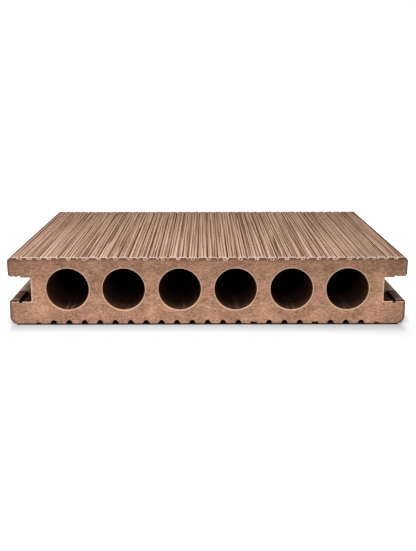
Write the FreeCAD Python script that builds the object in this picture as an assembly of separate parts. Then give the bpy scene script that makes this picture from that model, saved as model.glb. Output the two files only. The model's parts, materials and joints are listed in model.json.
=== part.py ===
# A short sample of a hollow decking board, extruded in one piece from wood-plastic composite.
# The board lies flat: X is its width, Y the way it was extruded, Z is up. Lengths are in millimetres.
# The origin is on the floor under the middle of the board.

import FreeCAD
import Part

import math
import os

Vector = FreeCAD.Vector

# Whole board
board_width = 145.0
board_height = 25.0
board_length = 100.0

# Round chambers that run through the board, in one row
chamber_count = 6
chamber_radius = 7.65
chamber_spacing = 20.4
chamber_height = 13.2

# Clip slot along each side, between an upper and a lower lip
slot_wall_from_middle = 64.4
slot_floor = 8.6
slot_roof = 17.4
slot_floor_corner_radius = 0.4
upper_lip_top_radius = 1.5
upper_lip_bottom_radius = 1.2
upper_lip_relief = 0.4
lower_lip_top_radius = 0.3
lower_lip_bottom_radius = 2.7

# Small clip teeth rolled into both lips, measured in from the edge of the lip
roof_tooth_insets = (2.1, 4.1)
roof_tooth_width = 0.75
roof_tooth_depth = 0.35
floor_tooth_inset = 2.4
floor_tooth_width = 0.6
floor_tooth_depth = 0.3
clip_groove_inset = 4.15
clip_groove_width = 1.1
clip_groove_floor_width = 0.8
clip_groove_depth = 0.55
tooth_root_radius = 0.08

# Narrow grooves along the walking face
tread_groove_count = 39
tread_groove_spacing = 3.605
tread_groove_width = 0.9
tread_groove_floor_width = 0.4
tread_groove_depth = 0.55
tread_shoulder_radius = 0.4
tread_floor_radius = 0.25

# Wider grooves along the underside, with one shallow groove outside each end of the row
foot_groove_count = 21
foot_groove_spacing = 5.66
foot_groove_width = 2.55
foot_groove_floor_width = 1.1
foot_groove_depth = 1.3
foot_groove_mouth_radius = 0.15
foot_groove_floor_radius = 0.4
end_groove_width = 2.4
end_groove_floor_width = 1.2
end_groove_depth = 0.4
end_groove_mouth_radius = 0.3
end_groove_floor_radius = 0.6


def groove(middle, surface, depth, mouth, floor, mouth_radius, floor_radius):
    """Corners (x, z, radius) of one groove, from its -X side to its +X side.

    A positive depth goes up into the board from below, a negative one goes down from above.
    """
    return [
        (middle - mouth / 2, surface, mouth_radius),
        (middle - floor / 2, surface + depth, floor_radius),
        (middle + floor / 2, surface + depth, floor_radius),
        (middle + mouth / 2, surface, mouth_radius),
    ]


def tooth(inset, surface, depth, width):
    """Corners of one V-shaped clip tooth in the +X lip, from its inner side to its outer side."""
    middle = board_width / 2 - inset
    return [
        (middle - width / 2, surface, 0.0),
        (middle, surface + depth, tooth_root_radius),
        (middle + width / 2, surface, 0.0),
    ]


def tread_groove(number):
    """Corners of a groove in the walking face; number 0 is on the middle line."""
    return groove(number * tread_groove_spacing, board_height, -tread_groove_depth, tread_groove_width,
                  tread_groove_floor_width, tread_shoulder_radius, tread_floor_radius)


def foot_groove(number):
    """Corners of a groove in the underside; number 0 is on the middle line."""
    return groove(number * foot_groove_spacing, 0.0, foot_groove_depth, foot_groove_width,
                  foot_groove_floor_width, foot_groove_mouth_radius, foot_groove_floor_radius)


def end_groove(number):
    """Corners of the shallow groove that ends the row in the underside."""
    return groove(number * foot_groove_spacing, 0.0, end_groove_depth, end_groove_width,
                  end_groove_floor_width, end_groove_mouth_radius, end_groove_floor_radius)


def walking_face():
    """Corners of the walking face, from the middle of its middle groove out to the +X edge."""
    corners = tread_groove(0)[2:]
    for number in range(1, tread_groove_count // 2 + 1):
        corners += tread_groove(number)
    return corners


def side_slot():
    """Corners of the +X side, from the top edge round both lips to the bottom edge.

    The outer part of the slot's roof is relieved, so the second tooth also makes the step up to it.
    """
    edge = board_width / 2
    relieved_roof = slot_roof + upper_lip_relief
    outer_tooth_inset, inner_tooth_inset = roof_tooth_insets
    outer_tooth = tooth(outer_tooth_inset, relieved_roof, roof_tooth_depth, roof_tooth_width)
    inner_tooth = tooth(inner_tooth_inset, relieved_roof, roof_tooth_depth, roof_tooth_width)
    step_foot = (edge - inner_tooth_inset - roof_tooth_width, slot_roof, 0.0)
    clip_groove = groove(edge - clip_groove_inset, slot_floor, -clip_groove_depth, clip_groove_width,
                         clip_groove_floor_width, 0.0, tooth_root_radius)
    upper_lip = [(edge, board_height, upper_lip_top_radius), (edge, relieved_roof, upper_lip_bottom_radius)]
    roof = outer_tooth[::-1] + inner_tooth[:0:-1] + [step_foot, (slot_wall_from_middle, slot_roof, 0.0)]
    floor = [(slot_wall_from_middle, slot_floor, slot_floor_corner_radius)] + clip_groove
    floor += tooth(floor_tooth_inset, slot_floor, -floor_tooth_depth, floor_tooth_width)
    lower_lip = [(edge, slot_floor, lower_lip_top_radius), (edge, 0.0, lower_lip_bottom_radius)]
    return upper_lip + roof + floor + lower_lip


def underside():
    """Corners of the underside, from the +X end of its row of grooves in to the middle groove."""
    last = foot_groove_count // 2
    corners = end_groove(last + 1)[::-1]
    for number in range(last, 0, -1):
        corners += foot_groove(number)[::-1]
    return corners + foot_groove(0)[:1:-1]


def section_corners():
    """All corners of the section, clockwise seen from the front: the +X half, then its mirror image."""
    half = walking_face() + side_slot() + underside()
    return half + [(-x, z, radius) for x, z, radius in reversed(half)]


def turn_corner(before, corner, after):
    """Return the start, the middle and the end of the arc that rounds one corner."""
    x, z, radius = corner
    here = Vector(x, 0, z)
    if radius == 0:
        return here, here, here
    back = (Vector(before[0], 0, before[1]) - here).normalize()
    onward = (Vector(after[0], 0, after[1]) - here).normalize()
    half_angle = back.getAngle(onward) / 2
    reach = radius / math.tan(half_angle)
    inward = (back + onward).normalize()
    middle = here + inward * (radius / math.sin(half_angle) - radius)
    return here + back * reach, middle, here + onward * reach


def outline_wire(corners):
    """Join corners (x, z, radius) by straight lines and tangent arcs into one closed wire."""
    turns = []
    for number, corner in enumerate(corners):
        turns.append(turn_corner(corners[number - 1], corner, corners[(number + 1) % len(corners)]))
    edges = []
    for number, (start, middle, end) in enumerate(turns):
        if not start.isEqual(end, 1e-6):
            edges.append(Part.Arc(start, middle, end).toShape())
        edges.append(Part.makeLine(end, turns[(number + 1) % len(turns)][0]))
    return Part.Wire(edges)


def chamber_middles():
    """X of the middle of each chamber, from -X to +X."""
    return [chamber_spacing * (number - (chamber_count - 1) / 2) for number in range(chamber_count)]


def chamber_discs():
    """One round face for each chamber."""
    discs = []
    for x in chamber_middles():
        circle = Part.makeCircle(chamber_radius, Vector(x, 0, chamber_height), Vector(0, 1, 0))
        discs.append(Part.Face(Part.Wire(circle)))
    return discs


def make_decking_board():
    """The section with its chambers cut out, pushed through to the length of the sample."""
    section = Part.Face(outline_wire(section_corners())).cut(Part.makeCompound(chamber_discs()))
    section.translate(Vector(0, -board_length / 2, 0))
    board = section.Faces[0].extrude(Vector(0, board_length, 0))
    print("section area", round(section.Area, 1), "mm2, volume", round(board.Volume / 1000, 2), "cm3,",
          len(board.Faces), "faces, valid", board.isValid())
    return board


def export(name, shape):
    """Write one sub-part to its own STEP file."""
    os.makedirs("parts", exist_ok=True)
    shape.exportStep(os.path.join("parts", name + ".step"))
    box = shape.BoundBox
    print(name, "X", round(box.XMin, 2), round(box.XMax, 2), "Y", round(box.YMin, 2), round(box.YMax, 2),
          "Z", round(box.ZMin, 2), round(box.ZMax, 2))


export("decking_board", make_decking_board())
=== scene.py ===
# %% [markdown]
# # A short sample of hollow decking
#
# The object is one piece of stock: a decking board pressed out of wood-plastic composite and sawn square
# at both ends. This lesson models that one piece as a maker would shape it. It starts as a plain bar, is
# cut by tools that have the form of each slot, groove and chamber, and is then rounded, roughened and
# given its finishes.
#
# Everything is in metres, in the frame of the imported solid: X across the board, Y along it, Z up.

import json
import math
import random

import bmesh
import bpy
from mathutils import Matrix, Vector


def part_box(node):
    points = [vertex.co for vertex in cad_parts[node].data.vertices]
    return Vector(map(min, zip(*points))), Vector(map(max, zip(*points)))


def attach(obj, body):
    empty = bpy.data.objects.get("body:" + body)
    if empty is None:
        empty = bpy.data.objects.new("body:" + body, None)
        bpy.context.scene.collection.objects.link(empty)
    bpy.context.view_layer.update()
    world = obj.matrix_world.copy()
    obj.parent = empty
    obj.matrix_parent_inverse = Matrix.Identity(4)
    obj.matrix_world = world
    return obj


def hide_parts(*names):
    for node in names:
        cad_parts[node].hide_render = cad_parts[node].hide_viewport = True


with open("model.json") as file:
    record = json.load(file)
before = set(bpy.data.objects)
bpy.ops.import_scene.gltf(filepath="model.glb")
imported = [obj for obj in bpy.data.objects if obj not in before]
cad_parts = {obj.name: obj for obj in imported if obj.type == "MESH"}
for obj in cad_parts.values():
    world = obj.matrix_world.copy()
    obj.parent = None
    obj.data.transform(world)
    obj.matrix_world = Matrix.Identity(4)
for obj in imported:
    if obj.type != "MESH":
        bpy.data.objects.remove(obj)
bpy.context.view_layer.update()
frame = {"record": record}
low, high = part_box("decking_board")
chambers = [mount for mount in frame["record"]["mounts"] if mount["kind"] == "bore"]

MM = 0.001
EDGE = high.x
TOP = high.z
HALF_LENGTH = high.y
print(f"board {(high.x - low.x) / MM:.1f} x {TOP / MM:.1f} mm, {(high.y - low.y) / MM:.1f} mm long,",
      f"{len(chambers)} chambers")

# %% [markdown]
# ## The camera first
#
# A piece is easier to judge when it is seen from the place the photograph was taken from. The camera
# stands in front of the sawn end, a little above the board, and looks slightly down. Its height and
# distance were worked out from the photograph: the sides of the walking face run to a point above the
# board, and that point gives the tilt.

# %% Place the camera
LENS = 49.41
SENSOR_WIDTH = 36
NEAREST_SEEN = 0.01
CAMERA_PLACE = Vector((-1.23, -315.4, 86.7)) * MM
CAMERA_TILT = math.radians(90 - 14.45)
CAMERA_TURN = math.radians(-0.29)

bpy.ops.object.camera_add(location=CAMERA_PLACE, rotation=(CAMERA_TILT, 0, CAMERA_TURN))
camera = bpy.context.object
camera.name = "sample_camera"
camera.data.lens = LENS
camera.data.sensor_width = SENSOR_WIDTH
camera.data.clip_start = NEAREST_SEEN
bpy.context.scene.camera = camera
print("camera", [round(value, 4) for value in camera.location], "lens", LENS, "mm")

# %% [markdown]
# ## Small helpers for working by hand in code
#
# Every operator acts on what is selected, so each step first opens one piece alone in edit mode and then
# selects points, edges or faces by where they are. These helpers do that and nothing else.


# %% Helpers for edit mode
def choose(*pieces):
    """Selects these pieces alone. The first one is active."""
    bpy.ops.object.select_all(action="DESELECT")
    for piece in pieces:
        piece.select_set(True)
    bpy.context.view_layer.objects.active = pieces[0]


def work_on(piece):
    """Opens one piece alone in edit mode with nothing selected."""
    if bpy.context.mode != "OBJECT":
        bpy.ops.object.mode_set(mode="OBJECT")
    choose(piece)
    bpy.ops.object.mode_set(mode="EDIT")
    bpy.ops.mesh.select_all(action="DESELECT")


def leave():
    bpy.ops.object.mode_set(mode="OBJECT")


def pick(piece, kind, wanted):
    """Selects the elements for which wanted(element) is true, and returns how many there are."""
    bpy.ops.mesh.select_all(action="DESELECT")
    bpy.ops.mesh.select_mode(type=kind)
    mesh = bmesh.from_edit_mesh(piece.data)
    elements = {"VERT": mesh.verts, "EDGE": mesh.edges, "FACE": mesh.faces}[kind]
    found = [element for element in elements if wanted(element)]
    for element in found:
        element.select_set(True)
    mesh.select_flush_mode()
    bmesh.update_edit_mesh(piece.data)
    return len(found)


def near(value, target, slack=0.02 * MM):
    return abs(value - target) < slack


def lengthwise(edge):
    """True for an edge that runs along the board."""
    a, b = (vertex.co for vertex in edge.verts)
    return near(a.x, b.x) and near(a.z, b.z)


# %% Helpers for blocks and modifiers
def add_block(name, x, y, z):
    """A cube primitive that fills the given ranges, each (low, high), with its size applied."""
    bpy.ops.object.select_all(action="DESELECT")
    spans = (x, y, z)
    bpy.ops.mesh.primitive_cube_add(
        size=1, location=[(a + b) / 2 for a, b in spans], scale=[b - a for a, b in spans])
    bpy.ops.object.transform_apply(location=True, rotation=True, scale=True)
    block = bpy.context.object
    block.name = name
    return block


def apply_modifier(piece, name, kind, **settings):
    """Adds one modifier, sets it and applies it."""
    choose(piece)
    modifier = piece.modifiers.new(name, kind)
    for key, value in settings.items():
        setattr(modifier, key, value)
    bpy.ops.object.modifier_apply(modifier=modifier.name)


def combine(piece, other, operation):
    """Cuts the other shape out of the piece, or welds it on, and throws the other shape away."""
    apply_modifier(piece, "combine", "BOOLEAN", operation=operation, solver="EXACT", object=other)
    bpy.data.objects.remove(other)
    print(f"{operation.lower()}: {len(piece.data.vertices)} points, {len(piece.data.polygons)} faces")


def round_edges(piece, radius, turn, segments, wanted):
    """Rounds the chosen lengthwise edges. turn is how far the outline turns there, in degrees."""
    work_on(piece)
    count = pick(piece, "EDGE", lambda edge: lengthwise(edge) and wanted(edge.verts[0].co))
    offset = radius * math.tan(math.radians(turn) / 2)
    bpy.ops.mesh.bevel(offset=offset, segments=segments, affect="EDGES", clamp_overlap=False)
    leave()
    return count


# %% [markdown]
# ## The bar and its clip slots
#
# The real board leaves the die with its slots already in it. A section drawn point by point would need
# hundreds of points, so here a plain bar is cut by tools instead. The slot tool is a block that is
# bisected where the lips have their small clip teeth, and each new line is then pushed up or down.
#
# The bar is a hair shorter than the solid. The saw leaves small burrs that stand proud of its cut, and
# they need that room to stay inside the real size.

# %% Make the bar
BURR_ROOM = 0.15 * MM
SAWN_FACE = HALF_LENGTH - BURR_ROOM
board = add_block("hollow_board", (-EDGE, EDGE), (-SAWN_FACE, SAWN_FACE), (0, TOP))
print(f"bar {2 * SAWN_FACE / MM:.1f} mm long")

# %% Name the sizes of the slot
OVERCUT = 3 * MM
THROUGH = (-HALF_LENGTH - OVERCUT, HALF_LENGTH + OVERCUT)
SLOT_WALL = 64.4 * MM
SLOT_FLOOR = 8.6 * MM
SLOT_ROOF = 17.4 * MM
LIP_RELIEF = 0.4 * MM
ROOF_TEETH = (4.1 * MM, 2.1 * MM)
ROOF_TOOTH_WIDTH = 0.75 * MM
ROOF_TOOTH_DEPTH = 0.35 * MM
FLOOR_TOOTH = 2.4 * MM
FLOOR_TOOTH_WIDTH = 0.6 * MM
FLOOR_TOOTH_DEPTH = 0.3 * MM
CLIP_GROOVE = 4.15 * MM
CLIP_GROOVE_MOUTH = 1.1 * MM
CLIP_GROOVE_FLOOR = 0.8 * MM
CLIP_GROOVE_DEPTH = 0.55 * MM

# each line is given by how far in from the edge of the lip it lies and how far it is lifted
roof_lines = [(ROOF_TEETH[0] + ROOF_TOOTH_WIDTH, 0)]
for number, inset in enumerate(ROOF_TEETH):
    if number:
        roof_lines.append((inset + ROOF_TOOTH_WIDTH / 2, LIP_RELIEF))
    roof_lines.append((inset, LIP_RELIEF + ROOF_TOOTH_DEPTH))
    roof_lines.append((inset - ROOF_TOOTH_WIDTH / 2, LIP_RELIEF))
floor_lines = [
    (CLIP_GROOVE + CLIP_GROOVE_MOUTH / 2, 0), (CLIP_GROOVE + CLIP_GROOVE_FLOOR / 2, -CLIP_GROOVE_DEPTH),
    (CLIP_GROOVE - CLIP_GROOVE_FLOOR / 2, -CLIP_GROOVE_DEPTH), (CLIP_GROOVE - CLIP_GROOVE_MOUTH / 2, 0),
    (FLOOR_TOOTH + FLOOR_TOOTH_WIDTH / 2, 0), (FLOOR_TOOTH, -FLOOR_TOOTH_DEPTH),
    (FLOOR_TOOTH - FLOOR_TOOTH_WIDTH / 2, 0)]
print(len(roof_lines), "lines in the roof of a slot,", len(floor_lines), "in its floor")


# %% Shape the slot tool and cut both slots
def score(piece, level, lines):
    """Bisects the faces at one height along X, then lifts each new line by its own amount."""
    for inset, _ in lines:
        pick(piece, "FACE", lambda face: near(face.calc_center_median().z, level))
        bpy.ops.mesh.bisect(plane_co=(EDGE - inset, 0, 0), plane_no=(1, 0, 0))
    for inset, lift in lines:
        pick(piece, "VERT", lambda vertex: near(vertex.co.x, EDGE - inset) and near(vertex.co.z, level))
        bpy.ops.transform.translate(value=(0, 0, lift))


slot_tool = add_block("slot_tool", (SLOT_WALL, EDGE + OVERCUT), THROUGH, (SLOT_FLOOR, SLOT_ROOF))
work_on(slot_tool)
score(slot_tool, SLOT_FLOOR, floor_lines)
score(slot_tool, SLOT_ROOF, roof_lines)
pick(slot_tool, "VERT", lambda vertex: near(vertex.co.x, EDGE + OVERCUT) and near(vertex.co.z, SLOT_ROOF))
bpy.ops.transform.translate(value=(0, 0, LIP_RELIEF))
leave()
apply_modifier(slot_tool, "both_sides", "MIRROR", use_axis=(True, False, False))
combine(board, slot_tool, "DIFFERENCE")

# %% [markdown]
# ## Grooves and chambers
#
# What repeats is modelled once. A groove tool is a block whose floor is narrower than its mouth, and an
# array makes the whole row of them. The chambers are cut by a row of cylinders, placed by the mounts of
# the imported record. The saw leaves the mouth of a chamber a little wider, so each cylinder is bisected
# near its ends and flared there, which is simpler than bevelling every mouth after the cut.

# %% Cut the grooves of both faces
TREAD_COUNT = 39
TREAD_SPACING = 3.605 * MM
TREAD_MOUTH = 0.9 * MM
TREAD_FLOOR = 0.4 * MM
TREAD_DEPTH = 0.55 * MM
FOOT_COUNT = 21
FOOT_SPACING = 5.66 * MM
FOOT_MOUTH = 2.55 * MM
FOOT_FLOOR = 1.1 * MM
FOOT_DEPTH = 1.3 * MM
END_MOUTH = 2.4 * MM
END_FLOOR = 1.2 * MM
END_DEPTH = 0.4 * MM


def cut_grooves(surface, depth, mouth, floor, count, spacing):
    """Cuts a row of tapered grooves. depth is negative where they go down into the walking face."""
    far = surface - depth
    tool = add_block("groove_tool", (-floor / 2, floor / 2), THROUGH, sorted((surface + depth, far)))
    work_on(tool)
    pick(tool, "VERT", lambda vertex: near(vertex.co.z, far))
    bpy.ops.transform.resize(value=((2 * mouth - floor) / floor, 1, 1))
    bpy.ops.mesh.select_all(action="SELECT")
    bpy.ops.transform.translate(value=(-spacing * (count - 1) / 2, 0, 0))
    leave()
    apply_modifier(tool, "row", "ARRAY", count=count, use_relative_offset=False, use_constant_offset=True,
                   constant_offset_displace=(spacing, 0, 0))
    combine(board, tool, "DIFFERENCE")


cut_grooves(TOP, -TREAD_DEPTH, TREAD_MOUTH, TREAD_FLOOR, TREAD_COUNT, TREAD_SPACING)
cut_grooves(0, FOOT_DEPTH, FOOT_MOUTH, FOOT_FLOOR, FOOT_COUNT, FOOT_SPACING)
cut_grooves(0, END_DEPTH, END_MOUTH, END_FLOOR, 2, FOOT_SPACING * (FOOT_COUNT + 1))

# %% Cut the chambers
CHAMBER_SIDES = 48
CHAMBER_RADIUS = chambers[0]["dims"]["r_mm"] * MM
CHAMBER_HEIGHT = chambers[0]["pos_m"][2]
chamber_middles = sorted(mount["pos_m"][0] for mount in chambers)
CHAMBER_SPACING = chamber_middles[1] - chamber_middles[0]
MOUTH_EASE = 0.15 * MM


def from_chamber(co):
    """How far a point lies from the middle line of the nearest chamber."""
    return min(math.hypot(co.x - middle, co.z - CHAMBER_HEIGHT) for middle in chamber_middles)


bpy.ops.object.select_all(action="DESELECT")
bpy.ops.mesh.primitive_cylinder_add(
    vertices=CHAMBER_SIDES, radius=CHAMBER_RADIUS, depth=2 * (HALF_LENGTH + OVERCUT),
    location=(chamber_middles[0], 0, CHAMBER_HEIGHT), rotation=(math.pi / 2, 0, 0))
bpy.ops.object.transform_apply(location=True, rotation=True, scale=True)
chamber_tool = bpy.context.object
work_on(chamber_tool)
for ring in (SAWN_FACE - MOUTH_EASE, SAWN_FACE):
    for side in (-1, 1):
        bpy.ops.mesh.select_all(action="SELECT")
        bpy.ops.mesh.bisect(plane_co=(0, side * ring, 0), plane_no=(0, 1, 0))
pick(chamber_tool, "VERT", lambda vertex: abs(vertex.co.y) > SAWN_FACE - MOUTH_EASE / 2)
flare = 1 + MOUTH_EASE / CHAMBER_RADIUS
bpy.ops.transform.resize(value=(flare, 1, flare), center_override=(chamber_middles[0], 0, CHAMBER_HEIGHT))
leave()
apply_modifier(chamber_tool, "row", "ARRAY", count=len(chambers), use_relative_offset=False,
               use_constant_offset=True, constant_offset_displace=(CHAMBER_SPACING, 0, 0))
combine(board, chamber_tool, "DIFFERENCE")

# %% [markdown]
# ## Round the edges
#
# Nothing that comes out of a die is sharp. Each kind of edge has its own radius, so each is picked by its
# place and bevelled on its own. An edge where the outline turns by less than a right angle needs a smaller
# offset for the same radius, which the helper works out.

# %% Round the outer corners of the lips and the slot
RIGHT_ANGLE = 90
LIP_CORNER = 1.5 * MM
FOOT_CORNER = 2.7 * MM
UPPER_LIP_UNDERSIDE = 1.2 * MM
LOWER_LIP_TOP = 0.3 * MM
SLOT_CORNER = 0.4 * MM
relieved_roof = SLOT_ROOF + LIP_RELIEF

# each corner has a radius, a number of segments, a distance from the middle and a height
for radius, segments, out, height in (
        (LIP_CORNER, 6, EDGE, TOP), (FOOT_CORNER, 8, EDGE, 0), (UPPER_LIP_UNDERSIDE, 5, EDGE, relieved_roof),
        (LOWER_LIP_TOP, 2, EDGE, SLOT_FLOOR), (SLOT_CORNER, 3, SLOT_WALL, SLOT_FLOOR)):
    count = round_edges(board, radius, RIGHT_ANGLE, segments,
                        lambda co: near(abs(co.x), out) and near(co.z, height))
    print(f"{count} edges rounded to {radius / MM:.1f} mm")

# %% Round the mouths and floors of the grooves
TREAD_SHOULDER = 0.4 * MM
TREAD_FLOOR_CORNER = 0.25 * MM
FOOT_SHOULDER = 0.15 * MM
FOOT_FLOOR_CORNER = 0.4 * MM
END_FLOOR_CORNER = 0.6 * MM


def wall_angle(depth, mouth, floor):
    """How steep the wall of a groove is, in degrees."""
    return math.degrees(math.atan2(depth, (mouth - floor) / 2))


def mouth_edges(count, spacing, mouth):
    """X of both edges of every groove in a row."""
    middles = [spacing * (number - (count - 1) / 2) for number in range(count)]
    return [middle + side * mouth / 2 for middle in middles for side in (-1, 1)]


def at_any(x, places):
    return any(near(x, place) for place in places)


tread_turn = wall_angle(TREAD_DEPTH, TREAD_MOUTH, TREAD_FLOOR)
foot_turn = wall_angle(FOOT_DEPTH, FOOT_MOUTH, FOOT_FLOOR)
end_turn = wall_angle(END_DEPTH, END_MOUTH, END_FLOOR)
tread_edges = mouth_edges(TREAD_COUNT, TREAD_SPACING, TREAD_MOUTH)
foot_edges = mouth_edges(FOOT_COUNT, FOOT_SPACING, FOOT_MOUTH)
rounded = [
    round_edges(board, TREAD_SHOULDER, tread_turn, 2,
                lambda co: near(co.z, TOP) and at_any(co.x, tread_edges)),
    round_edges(board, TREAD_FLOOR_CORNER, tread_turn, 1, lambda co: near(co.z, TOP - TREAD_DEPTH)),
    round_edges(board, FOOT_SHOULDER, foot_turn, 1, lambda co: near(co.z, 0) and at_any(co.x, foot_edges)),
    round_edges(board, FOOT_FLOOR_CORNER, foot_turn, 2, lambda co: near(co.z, FOOT_DEPTH)),
    round_edges(board, END_FLOOR_CORNER, end_turn, 2, lambda co: near(co.z, END_DEPTH))]
print("edges rounded in the grooves:", rounded)

# %% [markdown]
# ## The sawn ends
#
# A circular saw leaves a flat, dull face and breaks the arris all round it. It also tears small strips of
# skin loose along the upper edge, and they hang over the cut as loops. Underneath, it leaves crumbs in two
# of the grooves. The arris is an inset ring whose outer points are pushed back from the cut. A loop is a
# torus primitive, flattened, copied along the edge and welded on, so that it is part of the board as it is
# on the real one. A painted loop would cast no shadow.

# %% Divide the ribs into narrow strips
RIB_LINES = 7
work_on(board)
count = pick(board, "EDGE", lambda edge: all(near(vertex.co.z, TOP) for vertex in edge.verts)
             and not lengthwise(edge) and edge.calc_length() > TREAD_MOUTH)
bpy.ops.mesh.subdivide(number_cuts=RIB_LINES)
leave()
print(count, "rib ends divided,", len(board.data.vertices), "points")


# %% Break the arris of both sawn ends
ARRIS = 0.12 * MM
SQUARE_ON = 0.99


def in_cut(face):
    return abs(face.normal.y) > SQUARE_ON and near(abs(face.calc_center_median().y), SAWN_FACE)


def on_outline(vertex):
    """True for a point of a sawn end where a lengthwise edge starts, outside the chambers."""
    return near(abs(vertex.co.y), SAWN_FACE) and any(lengthwise(edge) for edge in vertex.link_edges)


work_on(board)
pick(board, "FACE", in_cut)
bpy.ops.mesh.inset(thickness=ARRIS, use_even_offset=True, use_boundary=True)
for side in (-1, 1):
    count = pick(board, "VERT", lambda vertex: on_outline(vertex) and vertex.co.y * side > 0)
    bpy.ops.transform.translate(value=(0, -side * ARRIS, 0))
leave()
print(count, "points round each end pushed back")

# %% Name the sizes of the loops and crumbs
LOOP_TUBE = 0.35
LOOP_SIZE = Vector((0.68, 0.42, 0.45)) * MM
LOOP_DROP = 0.60 * MM
LOOP_TILT = 0.15
LOOP_SHIFT = 0.3 * MM
LOOP_START = 0.5 * MM
SMALLEST_LOOP = 0.85
LOOPS_EACH_SIDE = 9
OUTER_START = 56.7 * MM
OUTER_SPACING = 3.7 * MM
OUTER_LOOPS = 4
OUTER_SCALE = 0.75
CRUMB_SIZE = Vector((0.90, 0.13, 0.40)) * MM
CRUMB_DROP = 0.30 * MM
CRUMB_GROOVES = (3, 7)
SUNK = 0.03 * MM
BURR_SEED = 5

inner_loops = [LOOP_START + FOOT_SPACING * number for number in range(-LOOPS_EACH_SIDE, LOOPS_EACH_SIDE + 1)]
outer_loops = [side * (OUTER_START + OUTER_SPACING * number)
               for side in (-1, 1) for number in range(OUTER_LOOPS)]
print(len(inner_loops), "loops along the middle of each end,", len(outer_loops), "smaller ones beside them")

# %% Weld the loops and crumbs to the cut
chance = random.Random(BURR_SEED)
burr_face = SAWN_FACE - SUNK
bpy.ops.object.select_all(action="DESELECT")
bpy.ops.mesh.primitive_torus_add(major_segments=16, minor_segments=6, major_radius=1, minor_radius=LOOP_TUBE,
                                 rotation=(math.pi / 2, 0, 0))
bpy.ops.object.transform_apply(location=False, rotation=True, scale=False)
loop = bpy.context.object
bpy.ops.mesh.primitive_ico_sphere_add(subdivisions=2, radius=1)
crumb = bpy.context.object
burrs = []


def place_burr(start, x, y, z, size):
    """Puts a copy of a start piece on a sawn end, turned a little about Y."""
    choose(start)
    bpy.ops.object.duplicate()
    burr = bpy.context.object
    burr.location = (x, y, z)
    burr.rotation_euler = (0, chance.uniform(-LOOP_TILT, LOOP_TILT), 0)
    burr.scale = size
    burrs.append(burr)


for side in (-1, 1):
    for x in inner_loops + outer_loops:
        scale = OUTER_SCALE if x in outer_loops else chance.uniform(SMALLEST_LOOP, 1.0)
        place_burr(loop, x + chance.uniform(-LOOP_SHIFT, LOOP_SHIFT), side * burr_face,
                   TOP - LOOP_DROP * scale, LOOP_SIZE * scale)
    for number in CRUMB_GROOVES:
        place_burr(crumb, number * FOOT_SPACING, side * burr_face, FOOT_DEPTH - CRUMB_DROP, CRUMB_SIZE)

for start in (loop, crumb):
    bpy.data.objects.remove(start)
choose(*burrs)
bpy.ops.object.join()
welded = bpy.context.object
bpy.ops.object.transform_apply(location=True, rotation=True, scale=True)
print(len(burrs), "burrs,", len(welded.data.vertices), "points")
combine(board, welded, "UNION")

# %% Clean up after the weld
# the weld leaves a few edges shorter than this where a burr only just crosses a line
SHORTEST_EDGE = 0.002 * MM
work_on(board)
bpy.ops.mesh.select_all(action="SELECT")
bpy.ops.mesh.dissolve_degenerate(threshold=SHORTEST_EDGE)
leave()
print(len(board.data.vertices), "points left")

# %% [markdown]
# ## Relief along the board
#
# The walking face was brushed after it was pressed, which leaves fine ridges that run along the board and
# fade in and out. They could be painted on as bump alone, but the light then slides over a flat face. So
# the board is divided along its length and its points are moved by a Displace modifier, with a cloud
# pattern that an empty stretches along Y. Every move goes into the material, so the size stays true.

# %% Divide the board along its length
END_RINGS = (0.4, 0.9, 1.6)
RINGS = 42
work_on(board)
for inset in END_RINGS:
    for side in (-1, 1):
        bpy.ops.mesh.select_all(action="SELECT")
        bpy.ops.mesh.bisect(plane_co=(0, side * (HALF_LENGTH - inset * MM), 0), plane_no=(0, 1, 0))
pick(board, "EDGE", lambda edge: lengthwise(edge) and edge.calc_length() > HALF_LENGTH)
bpy.ops.mesh.subdivide(number_cuts=RINGS)
leave()
triangles = sum(len(face.vertices) - 2 for face in board.data.polygons)
print(len(board.data.vertices), "points,", triangles, "triangles")


# %% Helpers for relief
def group_points(piece, name, wanted):
    """Puts the chosen points in a new vertex group."""
    work_on(piece)
    count = pick(piece, "VERT", wanted)
    bpy.ops.object.vertex_group_add()
    piece.vertex_groups.active.name = name
    bpy.ops.object.vertex_group_assign()
    leave()
    print(count, "points in", name)


def roughen(piece, group, axis, strength, mid_level, grain):
    """Moves a group along one axis by a cloud pattern; grain is the size of its clouds along X, Y and Z."""
    clouds = bpy.data.textures.new(group, "CLOUDS")
    clouds.noise_scale = 1
    bpy.ops.object.empty_add(location=(0, 0, 0))
    stretch = bpy.context.object
    stretch.scale = grain
    bpy.context.view_layer.update()
    apply_modifier(piece, "relief", "DISPLACE", texture=clouds, texture_coords="OBJECT",
                   texture_coords_object=stretch, direction=axis, strength=strength, mid_level=mid_level,
                   vertex_group=group)
    bpy.data.objects.remove(stretch)
    bpy.data.textures.remove(clouds)


# %% Choose the points of the walking face and the slots
RIB_SKIN = 0.05 * MM
FLOOR_SKIN = 0.1 * MM
LIP_TURN = 1.6 * MM
STILL_END = 0.3 * MM
STILL_LIP = 0.4 * MM
GROOVE_REACH = 1.1

group_points(board, "ribs", lambda vertex: vertex.co.z > TOP - RIB_SKIN)
group_points(board, "tread", lambda vertex: vertex.co.z > TOP - TREAD_DEPTH * GROOVE_REACH
             and abs(vertex.co.x) < EDGE - LIP_TURN and abs(vertex.co.y) < HALF_LENGTH - STILL_END)
group_points(board, "tread_floors", lambda vertex: near(vertex.co.z, TOP - TREAD_DEPTH, FLOOR_SKIN)
             and abs(vertex.co.x) < EDGE - LIP_TURN)

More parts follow.
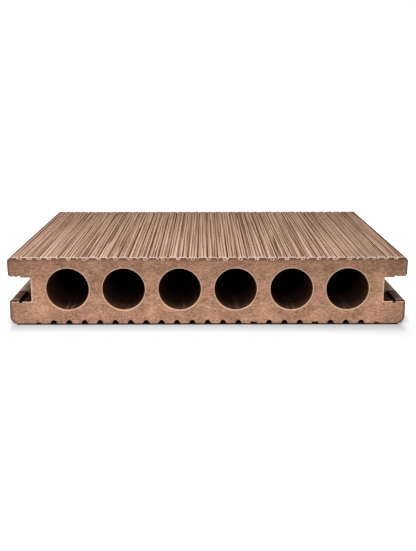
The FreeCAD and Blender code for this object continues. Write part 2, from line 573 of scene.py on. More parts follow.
# %% Brush the walking face and roughen the slots
# each group has an axis, how far its points move in mm, the level that stays, and its clouds' size in mm
for group, axis, strength, still, grain in (
        ("tread", "X", 0.12, 0.5, (2.5, 60, 2.5)),
        ("ribs", "Z", 0.28, 1, (0.45, 45, 1)),
        ("tread_floors", "Z", 0.5, 0.5, (2, 45, 1))):
    roughen(board, group, axis, strength * MM, still, Vector(grain) * MM)
group_points(board, "slots", lambda vertex: SLOT_WALL < abs(vertex.co.x) < EDGE - STILL_LIP
             and SLOT_FLOOR - CLIP_GROOVE_DEPTH < vertex.co.z < relieved_roof + ROOF_TOOTH_DEPTH)
roughen(board, "slots", "Z", 0.25 * MM, 0.5, Vector((0.8, 14, 1)) * MM)
board.vertex_groups.clear()

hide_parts("decking_board")
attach(board, "root")

# %% [markdown]
# ## Finishes
#
# The board is one material, pressed from wood flour and plastic, but each way of making a surface leaves
# it different: the brushed walking face, the dull sawn end, the skin that slid along the die, the dark
# chambers and the pale arris that the saw broke. So the one piece has five materials.
#
# What they share is built once, as node groups: the flour and its flecks, the lines drawn along the
# board, a mask that tells how near a point is to a cut, and the distance from the nearest chamber. All
# patterns sit on Object coordinates, which here are real metres, so that every grain has a real size.

# %% Name the colours
FLOUR_DARK = (0.300, 0.158, 0.098, 1)
FLOUR_LIGHT = (0.712, 0.390, 0.247, 1)
FLOUR_FIBRE = (0.79, 0.55, 0.42, 1)
# a darker tint for the grain, the lips and the packed parts, also used as painted shade at the foot
PRESSED_TINT_AND_SHADE = (0.74, 0.72, 0.71, 1)
# painted shade: the sawn end is darker towards the top
TOP_SHADE_TINT = (0.65, 0.635, 0.63, 1)
TORN_DARK = (0.46, 0.30, 0.215, 1)
TORN_LIGHT = (0.86, 0.63, 0.50, 1)
TORN_FIBRE = (0.90, 0.72, 0.60, 1)
EDGE_PALE = (0.74, 0.49, 0.355, 1)
# the dark of the skin line, also used as the painted shadow under the edge of the walking face
SHADOW_AND_SKIN_DARK = (0.150, 0.080, 0.052, 1)
RIB_DARK = (0.106, 0.034, 0.012, 1)
RIB_LIGHT = (0.772, 0.505, 0.367, 1)
# a painted highlight on the groove shoulders and on the lips of the scratches
RIB_HIGHLIGHT = (0.78, 0.55, 0.42, 1)
# painted shade in the groove floors and in the scratches
GROOVE_SHADE = (0.096, 0.033, 0.015, 1)
SKIN_DARK = (0.200, 0.110, 0.072, 1)
SKIN_LIGHT = (0.420, 0.250, 0.175, 1)
# painted light on the lower lips; the next one is painted shade on their first 14 mm
LIP_PAINTED_LIGHT = (0.80, 0.59, 0.46, 1)
SLOT_FRONT_SHADE = (0.340, 0.205, 0.145, 1)
SLOT_SHADE = (0.070, 0.036, 0.030, 1)
SLOT_BLACK = (0.012, 0.008, 0.006, 1)
# painted shade in the chambers, at the mouth and deep down
CHAMBER_MOUTH_SHADE = (0.064, 0.030, 0.018, 1)
CHAMBER_DEEP_SHADE = (0.005, 0.003, 0.002, 1)
WHITE = (1, 1, 1, 1)


# %% Helpers for shader nodes
def place(tree, kind, sockets=None, **settings):
    """Adds a node, sets its properties, and sets or links its inputs by name or number."""
    added = tree.nodes.new(kind)
    for key, value in settings.items():
        setattr(added, key, value)
    for socket, value in (sockets or {}).items():
        if isinstance(value, bpy.types.NodeSocket):
            tree.links.new(value, added.inputs[socket])
        else:
            added.inputs[socket].default_value = value
    return added


def tree_of(values):
    """The node tree that the first socket among some values belongs to."""
    return next(value.id_data for value in values if isinstance(value, bpy.types.NodeSocket))


def maths(operation, *values, clamp=False):
    """One Math node, beside the nodes that feed it. Returns its output."""
    sockets = dict(enumerate(values))
    return place(tree_of(values), "ShaderNodeMath", sockets, operation=operation, use_clamp=clamp).outputs[0]


def plus(first, second, clamp=False):
    return maths("ADD", first, second, clamp=clamp)


def minus(first, second):
    return maths("SUBTRACT", first, second)


def times(first, second):
    """Two values multiplied: a mask weakened by a share, or two masks that must both hold."""
    return maths("MULTIPLY", first, second)


def without_sign(value):
    return maths("ABSOLUTE", value)


def past(value, limit):
    """How far a value lies past a limit, and 0 before it."""
    return maths("MAXIMUM", minus(value, limit), 0.0)


def span(a, b):
    """The distance that two distances at right angles make together."""
    squares = [times(side, side) for side in (a, b)]
    return maths("SQRT", plus(*squares))


def fade(value, start, end):
    """A mask that goes from 0 where the value is start to 1 where it is end."""
    sockets = {"Value": value, "From Min": start, "From Max": end}
    return place(tree_of([value]), "ShaderNodeMapRange", sockets, interpolation_type="SMOOTHSTEP").outputs[0]


# %% Helpers for colours and groups
def blend_colour(factor, first, second, way="MIX"):
    """One Mix node for colours. Returns its output."""
    sockets = {0: factor, 6: first, 7: second}
    tree = tree_of(sockets.values())
    return place(tree, "ShaderNodeMix", sockets, data_type="RGBA", blend_type=way).outputs[2]


def paint(colour, over, mask, share=1.0, way="MIX"):
    """Lays a second colour over the first where the mask holds, at a share of its full strength."""
    return blend_colour(times(mask, share), colour, over, way)


def new_group(name, inputs, outputs):
    """Starts a node group. inputs and outputs list each socket's name and kind."""
    group = bpy.data.node_groups.new(name, "ShaderNodeTree")
    for way, sockets in (("INPUT", inputs), ("OUTPUT", outputs)):
        for label, kind in sockets:
            group.interface.new_socket(label, in_out=way, socket_type="NodeSocket" + kind)
    return group, group.nodes.new("NodeGroupInput").outputs, group.nodes.new("NodeGroupOutput").inputs


def use_group(group, sockets):
    """Places a node group beside the nodes that feed it, with its own values. Returns its outputs."""
    return place(tree_of(sockets.values()), "ShaderNodeGroup", sockets, node_tree=group).outputs


def count_nodes(name, tree):
    print(name, "has", len(tree.nodes), "nodes")


# %% The pressed flour
BLOTCHES_PER_METRE = 260.0
GRAINS_PER_METRE = 1500.0
FIBRES_PER_METRE = 1100.0
GRAIN_ROUGHNESS = 0.7
FIBRE_CURL = 2.0
FIBRE_LEVELS = (0.62, 0.72)


def make_pressed_flour():
    """Cloudy blotches, fine grain and pale fibres, as a colour and as a height."""
    tree, given, result = new_group(
        "pressed_flour",
        [("Vector", "Vector"), ("Dark", "Color"), ("Light", "Color"), ("Fibre", "Color"),
         ("Blotches", "Float"), ("Grain", "Float"), ("Fibres", "Float")],
        [("Colour", "Color"), ("Height", "Float")])
    noises = ({"Scale": BLOTCHES_PER_METRE, "Detail": 2.0},
              {"Scale": GRAINS_PER_METRE, "Detail": 3.0, "Roughness": GRAIN_ROUGHNESS},
              {"Scale": FIBRES_PER_METRE, "Detail": 1.0, "Distortion": FIBRE_CURL})
    blotch, grain, fibre = [
        place(tree, "ShaderNodeTexNoise", {"Vector": given["Vector"], **noise}).outputs[0]
        for noise in noises]
    cloudy = times(minus(blotch, 0.5), given["Blotches"])
    grainy = times(minus(grain, 0.5), given["Grain"])
    tone = plus(plus(cloudy, grainy), 0.5, clamp=True)
    pale = times(fade(fibre, *FIBRE_LEVELS), given["Fibres"])
    flour = blend_colour(tone, given["Dark"], given["Light"])
    tree.links.new(blend_colour(pale, flour, given["Fibre"]), result["Colour"])
    tree.links.new(grain, result["Height"])
    return tree


pressed_flour = make_pressed_flour()
count_nodes(pressed_flour.name, pressed_flour)


# %% The drawn lines
def make_drawn_lines():
    """Lines along the board, of a given width and length, from 0 to 1."""
    tree, given, result = new_group(
        "drawn_lines", [("Vector", "Vector"), ("Width", "Float"), ("Length", "Float"), ("Contrast", "Float")],
        [("Lines", "Float")])
    sizes = {"X": given["Width"], "Y": given["Length"], "Z": given["Width"]}
    size = place(tree, "ShaderNodeCombineXYZ", sizes).outputs[0]
    places = {0: given["Vector"], 1: size}
    stretched = place(tree, "ShaderNodeVectorMath", places, operation="DIVIDE").outputs[0]
    streaks = place(tree, "ShaderNodeTexNoise", {"Vector": stretched, "Scale": 1.0, "Detail": 2.0}).outputs[0]
    centred = times(minus(streaks, 0.5), given["Contrast"])
    tree.links.new(plus(centred, 0.5, clamp=True), result["Lines"])
    return tree


drawn_lines = make_drawn_lines()
count_nodes(drawn_lines.name, drawn_lines)


def lines_along(where, width, length, contrast):
    """Drawn lines in a material. Width and length are in millimetres."""
    return use_group(drawn_lines, {
        "Vector": where, "Width": width * MM, "Length": length * MM, "Contrast": contrast})["Lines"]


# %% The mask of a cut
def make_cut_mask():
    """1 near a sawn end and 0 away from it: full at one distance from the cut, gone at another."""
    tree, given, result = new_group(
        "cut_mask", [("Vector", "Vector"), ("Full", "Float"), ("Gone", "Float")], [("Mask", "Float")])
    along = place(tree, "ShaderNodeSeparateXYZ", {0: given["Vector"]}).outputs["Y"]
    inside = minus(SAWN_FACE, without_sign(along))
    tree.links.new(fade(inside, given["Gone"], given["Full"]), result["Mask"])
    return tree


cut_mask = make_cut_mask()
count_nodes(cut_mask.name, cut_mask)


def near_cut(where, gone, full):
    """The mask of a cut in a material. It starts at one distance from the cut and is full at another."""
    return use_group(cut_mask, {"Vector": where, "Full": full, "Gone": gone})["Mask"]


# %% The nearest chamber
def make_nearest_chamber():
    """How far a point lies from the middle line of the nearest chamber, sideways and in all."""
    tree, given, result = new_group(
        "nearest_chamber", [("Vector", "Vector")], [("Sideways", "Float"), ("Distance", "Float")])
    axes = place(tree, "ShaderNodeSeparateXYZ", {0: given["Vector"]}).outputs
    wrapped = maths("WRAP", axes["X"], CHAMBER_SPACING, 0.0)
    sideways = minus(wrapped, CHAMBER_SPACING / 2)
    upward = minus(axes["Z"], CHAMBER_HEIGHT)
    tree.links.new(sideways, result["Sideways"])
    tree.links.new(span(sideways, upward), result["Distance"])
    return tree


nearest_chamber = make_nearest_chamber()
count_nodes(nearest_chamber.name, nearest_chamber)


# %% Start and end a material
DULL = 0.9
FAINT_GLOSS = 0.1
NO_GLOSS = 0.0


def start_material(name, specular):
    """A dull material: its node tree, its shader, its place in metres, and that place along each axis."""
    material = bpy.data.materials.new(name)
    material.use_nodes = True
    tree = material.node_tree
    shader = tree.nodes["Principled BSDF"]
    shader.inputs["Roughness"].default_value = DULL
    shader.inputs["Specular IOR Level"].default_value = specular
    where = place(tree, "ShaderNodeTexCoord").outputs["Object"]
    axes = place(tree, "ShaderNodeSeparateXYZ", {0: where}).outputs
    board.data.materials.append(material)
    return tree, shader, where, axes


def end_material(tree, shader, colour, height, depth, strength):
    """Links the colour, and turns a height into a normal; depth is the real depth of the relief in mm."""
    tree.links.new(colour, shader.inputs["Base Color"])
    bump = place(tree, "ShaderNodeBump", {"Strength": strength, "Distance": depth * MM, "Height": height})
    tree.links.new(bump.outputs[0], shader.inputs["Normal"])
    count_nodes(board.data.materials[-1].name, tree)


board.data.materials.clear()


# %% [markdown]
# ### The sawn end
#
# The cut shows the inside of the material: brown and cloudy, with a grain and pale fibres that lie more or
# less level, as the flow in the die left them. The upper part is painted darker as shade, where less light
# comes up from the paper, and a ragged painted shadow lies under the edge of the walking face. The foot is
# painted darker as shade close to the paper. The lips and the material packed between the chambers are
# darker in colour. The saw left a pale line round each chamber, painted wider low down as a highlight, and
# another beside the slots, and the skin shows as a dark line round the outside of both lips. The lines
# follow the outline, so they are worked out as distances from it.

# %% Masks for the edges of the sawn end
def slot_line(axes, reach):
    """1 along the wall and floor of a slot, 0 at a reach away from them."""
    inward = past(SLOT_WALL, without_sign(axes["X"]))
    below = past(SLOT_FLOOR, axes["Z"])
    line = fade(span(inward, below), reach, reach / 2)
    return times(line, fade(axes["Z"], SLOT_ROOF, SLOT_ROOF - reach))


def skin_line(axes, reach):
    """1 along the rounded outside of both lips, 0 at a reach inside it."""
    upper = maths("GREATER_THAN", axes["Z"], TOP / 2)
    corner = plus(FOOT_CORNER, times(upper, LIP_CORNER - FOOT_CORNER))
    beside = minus(without_sign(axes["X"]), minus(EDGE, corner))
    height = without_sign(minus(axes["Z"], TOP / 2))
    beyond = minus(height, minus(TOP / 2, corner))
    rounded = span(past(beside, 0.0), past(beyond, 0.0))
    line = fade(minus(rounded, corner), -reach, -reach / 3)
    return times(line, fade(beside, 0.0, reach))


# %% Sizes on the sawn end
GRAIN_STRETCH = (0.6, 1, 1)
BAND_RAGGEDNESS = 2.0 * MM
RIM_HIGHLIGHT_GROWTH = 0.25 * MM
SLOT_LINE = 0.6 * MM
SKIN_LINE = 1.2 * MM
PACKED_ABOVE = 0.32
PACKED_BELOW = 0.72

# each pair says where a mask starts and is full
# the first three masks place painted shade: towards the top, at the foot and under the walking face
SHADE_TOWARDS_TOP = (6 * MM, TOP)
SHADED_FOOT = (7 * MM, 2 * MM)
SHADOW_UNDER_EDGE = (TOP - 1.7 * MM, TOP - 0.5 * MM)
LIP_BLOCK = (SLOT_WALL - 1 * MM, SLOT_WALL + 3 * MM)
PACKED_RING = (CHAMBER_RADIUS + 6 * MM, CHAMBER_RADIUS + 2 * MM)
PACKED_ROW = (SLOT_WALL - 2 * MM, SLOT_WALL - 6 * MM)
LOWER_HALF = (CHAMBER_HEIGHT + 3 * MM, CHAMBER_HEIGHT - 3 * MM)
LOW_DOWN = (CHAMBER_HEIGHT - 2 * MM, CHAMBER_HEIGHT - 7 * MM)
RIM = (CHAMBER_RADIUS + 0.50 * MM, CHAMBER_RADIUS + 0.20 * MM)
RIM_ROW = (SLOT_WALL, SLOT_WALL - 2 * MM)


# %% Finish of the sawn end
def make_sawn_end():
    tree, shader, where, axes = start_material("sawn_end", FAINT_GLOSS)
    across = without_sign(axes["X"])
    height = axes["Z"]
    level = place(tree, "ShaderNodeMapping", {"Vector": where, "Scale": GRAIN_STRETCH}).outputs[0]
    flour = use_group(pressed_flour, {
        "Vector": level, "Dark": FLOUR_DARK, "Light": FLOUR_LIGHT, "Fibre": FLOUR_FIBRE,
        "Blotches": 1.25, "Grain": 2.6, "Fibres": 0.65})
    turned = place(tree, "ShaderNodeMapping", {"Vector": where, "Rotation": (0, 0, math.pi / 2)}).outputs[0]
    flow = lines_along(turned, width=0.4, length=2.0, contrast=2.5)
    colour = paint(flour["Colour"], PRESSED_TINT_AND_SHADE, flow, share=0.5, way="MULTIPLY")

    # the darker parts: painted shade towards the top and at the foot, a ragged painted shadow under the
    # walking face, and the lips and the packed material darker in colour
    colour = paint(colour, TOP_SHADE_TINT, fade(height, *SHADE_TOWARDS_TOP), way="MULTIPLY")
    colour = paint(colour, PRESSED_TINT_AND_SHADE, fade(height, *SHADED_FOOT), share=0.3, way="MULTIPLY")
    ragged_height = plus(height, times(minus(flour["Height"], 0.5), BAND_RAGGEDNESS))
    colour = paint(colour, SHADOW_AND_SKIN_DARK, fade(ragged_height, *SHADOW_UNDER_EDGE), share=0.95)
    colour = paint(colour, PRESSED_TINT_AND_SHADE, fade(across, *LIP_BLOCK), share=0.8, way="MULTIPLY")
    chamber = use_group(nearest_chamber, {"Vector": where})
    packed = times(fade(chamber["Distance"], *PACKED_RING), fade(across, *PACKED_ROW))
    more_below = times(fade(height, *LOWER_HALF), PACKED_BELOW - PACKED_ABOVE)
    packed = times(packed, plus(more_below, PACKED_ABOVE))
    colour = paint(colour, PRESSED_TINT_AND_SHADE, packed, way="MULTIPLY")

    # the pale and dark lines along the outline; the pale rim is painted wider low down as a highlight
    highlight_growth = times(fade(height, *LOW_DOWN), RIM_HIGHLIGHT_GROWTH)
    rim = fade(minus(chamber["Distance"], highlight_growth), *RIM)
    rim = times(times(rim, fade(across, *RIM_ROW)), 0.8)
    pale = maths("MAXIMUM", rim, times(slot_line(axes, SLOT_LINE), 0.9))
    colour = paint(colour, EDGE_PALE, pale)
    colour = paint(colour, SHADOW_AND_SKIN_DARK, skin_line(axes, SKIN_LINE), share=0.9)
    end_material(tree, shader, colour, flour["Height"], depth=0.05, strength=0.5)


make_sawn_end()


# %% [markdown]
# ### The walking face
#
# The brush drew lines about a millimetre apart, which wander a little along the board, with finer streaks
# between them. Here and there a deeper scratch runs on for the whole length, dark as painted shade, with a
# pale lip on each side as a painted highlight. The shoulders of the grooves are painted pale as a highlight
# and their floors painted dark as shade, more in some patches than in others. The distance from the middle
# of the nearest groove tells a shoulder from a floor. At the cut the fibres are torn pale, and painted shade
# runs as a dark line along both sides, over the rounded edges.

# %% Lines of the brush
BRISTLE_PITCH = 1.08 * MM
BRISTLE_WANDER = 16.0
BRISTLE_CONTRAST = 1.1


def bristle_lines(where, axes):
    """The lines of a brush: evenly spaced, but wandering a little along the board."""
    wander = lines_along(where, width=2.2, length=120, contrast=1.0)
    turns = times(axes["X"], 2 * math.pi / BRISTLE_PITCH)
    wave = maths("SINE", plus(turns, times(wander, BRISTLE_WANDER)))
    return plus(times(wave, BRISTLE_CONTRAST), 0.5, clamp=True)


# %% Sizes on the walking face
BRISTLE_SHARE = 0.54
STREAK_CONTRAST = 10.0
# each kind of streak has a width and a length in millimetres, and its share of the colour
STREAKS = ((0.46, 110, 0.20), (0.32, 50, 0.06), (0.40, 2.2, 0.18))
# how much painted shade lies in the groove floors, everywhere and in patches
FLOOR_SHADE_EVERYWHERE = 0.5
FLOOR_SHADE_IN_PATCHES = 0.5

# each pair says where a mask starts and is full
SCRATCH_HIGHLIGHT = (0.465, 0.430)
SCRATCH = (0.415, 0.375)
LIT_SHOULDER = (0.90 * MM, 0.60 * MM)
SHADED_FLOOR = (0.34 * MM, 0.16 * MM)
TORN_EDGE = (2.6 * MM, 0.2 * MM)
SHADED_SIDE = (EDGE - 1.9 * MM, EDGE - 1.3 * MM)


# %% Finish of the walking face
def make_walking_face():
    tree, shader, where, axes = start_material("walking_face", NO_GLOSS)
    streaks = times(bristle_lines(where, axes), BRISTLE_SHARE)
    for width, length, share in STREAKS:
        lines = lines_along(where, width, length, STREAK_CONTRAST)
        streaks = plus(streaks, times(lines, share))
    colour = blend_colour(streaks, RIB_DARK, RIB_LIGHT)
    deep = lines_along(where, width=0.75, length=150, contrast=1.0)
    # a deeper scratch: a painted highlight on its lips and painted shade in it
    colour = paint(colour, RIB_HIGHLIGHT, fade(deep, *SCRATCH_HIGHLIGHT), share=0.35)
    colour = paint(colour, GROOVE_SHADE, fade(deep, *SCRATCH), share=0.85)

    # the grooves: a painted highlight on their shoulders and painted shade in their floors, more in patches
    wrapped = maths("WRAP", axes["X"], TREAD_SPACING / 2, -TREAD_SPACING / 2)
    from_groove = without_sign(wrapped)
    colour = paint(colour, RIB_HIGHLIGHT, fade(from_groove, *LIT_SHOULDER), share=0.30)
    patches = lines_along(where, width=1.6, length=60, contrast=4.0)
    floor_shade = plus(times(patches, FLOOR_SHADE_IN_PATCHES), FLOOR_SHADE_EVERYWHERE)
    floor_shade = times(fade(from_groove, *SHADED_FLOOR), floor_shade)
    colour = paint(colour, GROOVE_SHADE, floor_shade)

    # the torn edge at the cut, weaker where a groove floor is painted dark, and the painted shade on the
    # sides
    torn_share = minus(0.75, times(floor_shade, 0.6))
    colour = paint(colour, TORN_LIGHT, near_cut(where, *TORN_EDGE), share=torn_share)
    # painted shade along both sides, over the rounded edges
    side = fade(without_sign(axes["X"]), *SHADED_SIDE)
    colour = paint(colour, RIB_DARK, side, share=0.55)
    end_material(tree, shader, colour, streaks, depth=0.12, strength=0.8)


make_walking_face()


# %% [markdown]
# ### The skin from the die
#
# The lips, the slots and the foot slid along the die, which left them smoother and faintly lined. The lower
# lips are painted pale, as painted light. For the first 14 mm from the saw they are painted dark as shade
# instead, up to a painted shadow line: brown outside the clip groove and nearly black in it and behind it.
# The painted shade is paler along the outer edge and in a strip close to the cut, and a ragged black line
# runs along the cut itself. The wall of the slot is painted dark as shade.

# %% Sizes on the skin
FRONT_SHADE_LENGTH = 14 * MM

# each pair says where a mask starts and is full
FRONT_SHADE_REACH = (FRONT_SHADE_LENGTH + 0.15 * MM, FRONT_SHADE_LENGTH - 0.15 * MM)
BEFORE_SHADOW_LINE = (FRONT_SHADE_LENGTH - 1.0 * MM, FRONT_SHADE_LENGTH - 1.8 * MM)
LIP_FROM_BELOW = (SLOT_FLOOR - 1.2 * MM, SLOT_FLOOR - 0.8 * MM)
LIP_FROM_ABOVE = (SLOT_FLOOR + 1.2 * MM, SLOT_FLOOR + 0.6 * MM)
BEHIND_GROOVE = (EDGE - CLIP_GROOVE + 0.2 * MM, EDGE - CLIP_GROOVE)
PALER_OUTER_EDGE = (EDGE - 1.1 * MM, EDGE - 0.6 * MM)
PALER_CUT_STRIP = (4.2 * MM, 3.2 * MM)
BLACK_GROOVE = (1.00 * MM, 0.80 * MM)
RAGGED_CUT = (2.2 * MM, 1.2 * MM)
RAGGED_GRAIN = (0.36, 0.46)
ABOVE_FLOOR = (SLOT_FLOOR - 0.1 * MM, SLOT_FLOOR + 0.1 * MM)
BELOW_ROOF = (SLOT_ROOF + 0.3 * MM, SLOT_ROOF)
SHADED_WALL = (SLOT_WALL + 0.6 * MM, SLOT_WALL + 0.2 * MM)


# %% Finish of the extruded skin
def paint_lower_lip(where, across, behind_groove, in_front_shade):
    """The colour of the top of a lower lip: painted light, or painted shade with a painted shadow line and
    paler parts.
    """
    # painted shade for the first 14 mm, nearly black behind the clip groove, ending in a black painted shadow
    # line
    front_shade = blend_colour(behind_groove, SLOT_FRONT_SHADE, SLOT_SHADE)
    shadow_line = minus(in_front_shade, near_cut(where, *BEFORE_SHADOW_LINE))
    front_shade = paint(front_shade, SLOT_BLACK, shadow_line, share=0.85)
    colour = blend_colour(in_front_shade, LIP_PAINTED_LIGHT, front_shade)
    # paler parts of the painted shade, along the outer edge and close to the cut
    paler_strip = times(near_cut(where, *PALER_CUT_STRIP), minus(1.0, behind_groove))
    paler = maths("MAXIMUM", fade(across, *PALER_OUTER_EDGE), paler_strip)
    return paint(colour, LIP_PAINTED_LIGHT, paler, share=0.4)


def make_extruded_skin():
    tree, shader, where, axes = start_material("extruded_skin", NO_GLOSS)
    across = without_sign(axes["X"])
    height = axes["Z"]
    lines = lines_along(where, width=0.5, length=30, contrast=2.5)
    flour = use_group(pressed_flour, {
        "Vector": where, "Dark": PRESSED_TINT_AND_SHADE, "Light": WHITE, "Fibre": WHITE,
        "Blotches": 1.5, "Grain": 1.5, "Fibres": 0.0})
    on_lip = times(fade(height, *LIP_FROM_BELOW), fade(height, *LIP_FROM_ABOVE))
    behind_groove = fade(across, *BEHIND_GROOVE)
    in_front_shade = near_cut(where, *FRONT_SHADE_REACH)
    skin = blend_colour(lines, SKIN_DARK, SKIN_LIGHT)
    lip_colour = paint_lower_lip(where, across, behind_groove, in_front_shade)
    skin = paint(skin, lip_colour, on_lip, share=0.9)
    skin = blend_colour(1.0, skin, flour["Colour"], "MULTIPLY")

    # black as painted shade in the clip groove, a ragged black line along the cut, and painted shade on the
    # wall
    from_groove = without_sign(minus(across, EDGE - CLIP_GROOVE))
    in_groove = times(fade(from_groove, *BLACK_GROOVE), times(on_lip, in_front_shade))
    ragged = times(near_cut(where, *RAGGED_CUT), fade(flour["Height"], *RAGGED_GRAIN))
    skin = paint(skin, SLOT_BLACK, maths("MAXIMUM", in_groove, times(ragged, on_lip)))
    in_slot = times(fade(height, *ABOVE_FLOOR), fade(height, *BELOW_ROOF))
    wall = times(in_slot, fade(across, *SHADED_WALL))
    skin = paint(skin, SLOT_SHADE, wall, share=0.85)
    end_material(tree, shader, skin, lines, depth=0.06, strength=0.6)


make_extruded_skin()


# %% [markdown]
# ### The chambers
#
# The cores of the die leave the chamber walls smooth. They are painted almost black as shade, darkest far
# down them, where no light reaches. Near the mouth the saw dragged some pale dust along the lowest part of
# the wall.

# %% Finish of the chamber walls
# each pair says where a mask starts and is full
LESS_SHADE_AT_MOUTH = (28 * MM, 7 * MM)
LOWEST_ACROSS = (2.6 * MM, 0.5 * MM)
LOWEST_HEIGHT = (CHAMBER_HEIGHT - 4 * MM, CHAMBER_HEIGHT - 7 * MM)
DRAGGED_DUST = (26 * MM, 3 * MM)
DUST_LINES = (0.75, 1.0)


def make_chamber_wall():
    tree, shader, where, axes = start_material("chamber_wall", NO_GLOSS)
    # painted shade: the wall gets darker with depth from the mouth
    wall = blend_colour(near_cut(where, *LESS_SHADE_AT_MOUTH), CHAMBER_DEEP_SHADE, CHAMBER_MOUTH_SHADE)
    lines = lines_along(where, width=0.38, length=18, contrast=5.0)
    sideways = use_group(nearest_chamber, {"Vector": where})["Sideways"]
    lowest = times(fade(without_sign(sideways), *LOWEST_ACROSS), fade(axes["Z"], *LOWEST_HEIGHT))
    dust = times(fade(lines, *DUST_LINES), lowest)
    dust = times(dust, near_cut(where, *DRAGGED_DUST))
    wall = paint(wall, EDGE_PALE, dust, share=0.22)
    end_material(tree, shader, wall, lines, depth=0.04, strength=0.4)


make_chamber_wall()


# %% [markdown]
# ### The broken arris
#
# Along the walking face the saw broke the edge, and the torn fibres are pale. The same finish covers the
# loops. The other edges keep the finish of the skin.

# %% Finish of the broken arris
def make_broken_arris():
    tree, shader, where, _ = start_material("broken_arris", FAINT_GLOSS)
    flour = use_group(pressed_flour, {
        "Vector": where, "Dark": TORN_DARK, "Light": TORN_LIGHT, "Fibre": TORN_FIBRE,
        "Blotches": 1.8, "Grain": 1.8, "Fibres": 0.3})
    end_material(tree, shader, flour["Colour"], flour["Height"], depth=0.06, strength=0.7)


make_broken_arris()


# %% Tell the faces of the board apart
PROUD = 0.01 * MM
END_ZONE = MOUTH_EASE * 1.1
TREAD_REACH = TREAD_DEPTH * 1.5
FACES_UP = 0.5
SLANTED = 0.1
TORN_DEPTH = 1.5 * MM
LIP_SKIN = 0.1 * MM
SMOOTH_BELOW = math.radians(35)


def stands_proud(co):
    """True for a point that stands out from a sawn end."""
    return abs(co.y) > SAWN_FACE + PROUD


def is_walking_face(face):
    co = face.calc_center_median()
    return co.z > TOP - TREAD_REACH and (abs(co.x) < EDGE - LIP_TURN or face.normal.z > FACES_UP)


def is_chamber(face):
    return from_chamber(face.calc_center_median()) < CHAMBER_RADIUS + MOUTH_EASE


def is_sawn(face):
    """True for the flat of a cut and for the crumbs on it."""
    co = face.calc_center_median()
    return in_cut(face) or (stands_proud(co) and co.z < TOP / 2)


def is_broken(face):
    """True for the arris of the walking face and for the loops."""
    co = face.calc_center_median()
    at_edge = abs(co.y) > SAWN_FACE - END_ZONE and SLANTED < abs(face.normal.y) < SQUARE_ON
    high_up = co.z > TOP - TORN_DEPTH and abs(co.x) < EDGE - LIP_SKIN
    return high_up and (at_edge or stands_proud(co))


# %% Give each face its finish
work_on(board)
for name, wanted in (("extruded_skin", lambda face: True), ("walking_face", is_walking_face),
                     ("chamber_wall", is_chamber), ("sawn_end", is_sawn), ("broken_arris", is_broken)):
    board.active_material_index = board.data.materials.find(name)
    count = pick(board, "FACE", wanted)
    bpy.ops.object.material_slot_assign()
    print(count, "faces of", name)
leave()
choose(board)
bpy.ops.object.shade_smooth_by_angle(angle=SMOOTH_BELOW)

# %% [markdown]
# ## Floor and light
#
# The board stands on white paper. A softbox hangs close above its front edge, behind a grid that keeps its
# light from going wide, so that the light falls off towards the back. A small card stands in front of the
# middle of the board and lights each chamber on its outer side, and a wide one throws light from behind.
# Both are low, which leaves the slots and the chambers dark, as a lamp high in front would not. The paper
# takes the board's shadow from the lamps, and more shadow is painted on it: a dark contact line where the
# two meet, and a soft shadow, widest in front, where its glow is held back near the board. Away from the
# board, and only as the camera sees it, the paper glows a little, so that it runs into the white without a
# line.

# %% Floor
FLOOR_SIZE = 6
PAPER = 0.57
PAPER_COLOUR = (PAPER * 0.96, PAPER, PAPER * 1.01, 1)
CONTACT_SHADOW_COLOUR = (0.02, 0.02, 0.02, 1)
PAPER_GLOW = 0.44
SIDE_STEEPNESS = 4

# each pair says where a mask starts and is full
CONTACT_EDGE = (0.7 * MM, 1.7 * MM)
SHADOW_EDGE = (0.0, 14 * MM)
WHITE_EDGE = (14 * MM, 50 * MM)


def seen_directly(tree):
    """1 for what the camera sees, by itself or in gloss or glass."""
    ray = place(tree, "ShaderNodeLightPath").outputs
    mirrored = maths("MAXIMUM", ray["Is Glossy Ray"], ray["Is Transmission Ray"])
    return maths("MAXIMUM", ray["Is Camera Ray"], mirrored)


bpy.ops.object.select_all(action="DESELECT")
bpy.ops.mesh.primitive_plane_add(size=FLOOR_SIZE, location=(0, 0, 0))
floor = bpy.context.object
floor.name = "studio_floor"
paper = bpy.data.materials.new("white_paper")
paper.use_nodes = True
tree = paper.node_tree
tree.nodes.clear()
axes = place(tree, "ShaderNodeSeparateXYZ", {0: place(tree, "ShaderNodeTexCoord").outputs["Object"]}).outputs
beside = past(without_sign(axes["X"]), EDGE - FOOT_CORNER)
behind = past(axes["Y"], HALF_LENGTH)
before = past(-HALF_LENGTH, axes["Y"])
away = span(before, times(plus(beside, behind), SIDE_STEEPNESS))
# the glow is held back near the board, which paints a soft shadow there, widest in front
glow = times(fade(away, *SHADOW_EDGE), PAPER_GLOW)
glow = plus(glow, fade(away, *WHITE_EDGE))
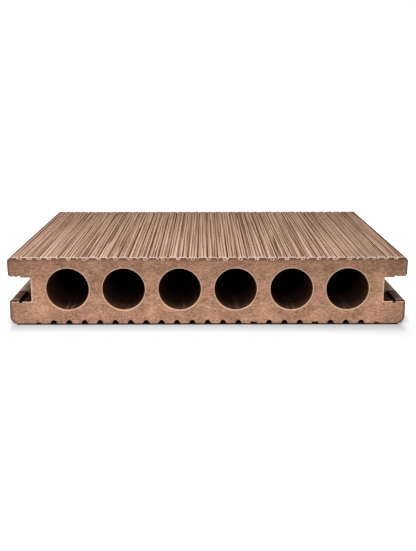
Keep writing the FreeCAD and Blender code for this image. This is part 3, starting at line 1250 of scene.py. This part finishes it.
# a painted contact shadow, dark where the paper meets the board
contact = blend_colour(fade(away, *CONTACT_EDGE), CONTACT_SHADOW_COLOUR, PAPER_COLOUR)
surface = place(tree, "ShaderNodeBsdfDiffuse", {"Color": contact})
strength = times(glow, seen_directly(tree))
lit = place(tree, "ShaderNodeEmission", {"Color": WHITE, "Strength": strength})
both = place(tree, "ShaderNodeAddShader", {0: surface.outputs[0], 1: lit.outputs[0]})
place(tree, "ShaderNodeOutputMaterial", {"Surface": both.outputs[0]})
floor.data.materials.append(paper)
count_nodes(paper.name, tree)

# %% Background
AMBIENT = 0.28
world = bpy.data.worlds.new("studio")
bpy.context.scene.world = world
world.use_nodes = True
tree = world.node_tree
tree.nodes.clear()
room = place(tree, "ShaderNodeBackground", {"Color": WHITE, "Strength": AMBIENT})
white = place(tree, "ShaderNodeBackground", {"Color": WHITE, "Strength": 1.0})
mixed = place(tree, "ShaderNodeMixShader", {0: seen_directly(tree), 1: room.outputs[0], 2: white.outputs[0]})
place(tree, "ShaderNodeOutputWorld", {"Surface": mixed.outputs[0]})


# %% Lamps
def softbox(name, spot, aim, size, power, spread=180):
    """One rectangular lamp at a spot, aimed at a point. spread is how wide its light goes, in degrees."""
    bpy.ops.object.light_add(type="AREA", location=spot)
    lamp = bpy.context.object
    lamp.name = name
    lamp.data.shape = "RECTANGLE"
    lamp.data.size, lamp.data.size_y = size
    lamp.data.energy = power
    lamp.data.spread = math.radians(spread)
    lamp.rotation_euler = (Vector(aim) - Vector(spot)).to_track_quat("-Z", "Y").to_euler()
    print(name, "at", spot, "with", power, "W")


softbox("overhead_softbox", spot=(-0.03, -0.108, 0.25), aim=(-0.03, -0.058, 0), size=(0.24, 0.14),
        power=0.192, spread=92)
softbox("front_card", spot=(-0.02, -0.50, 0.075), aim=(0, 0, 0.015), size=(0.26, 0.14), power=1.04)
softbox("back_card", spot=(0.20, 0.80, 0.07), aim=(0, 0, 0.02), size=(0.9, 0.12), power=4)

bpy.context.scene.view_settings.view_transform = "Standard"
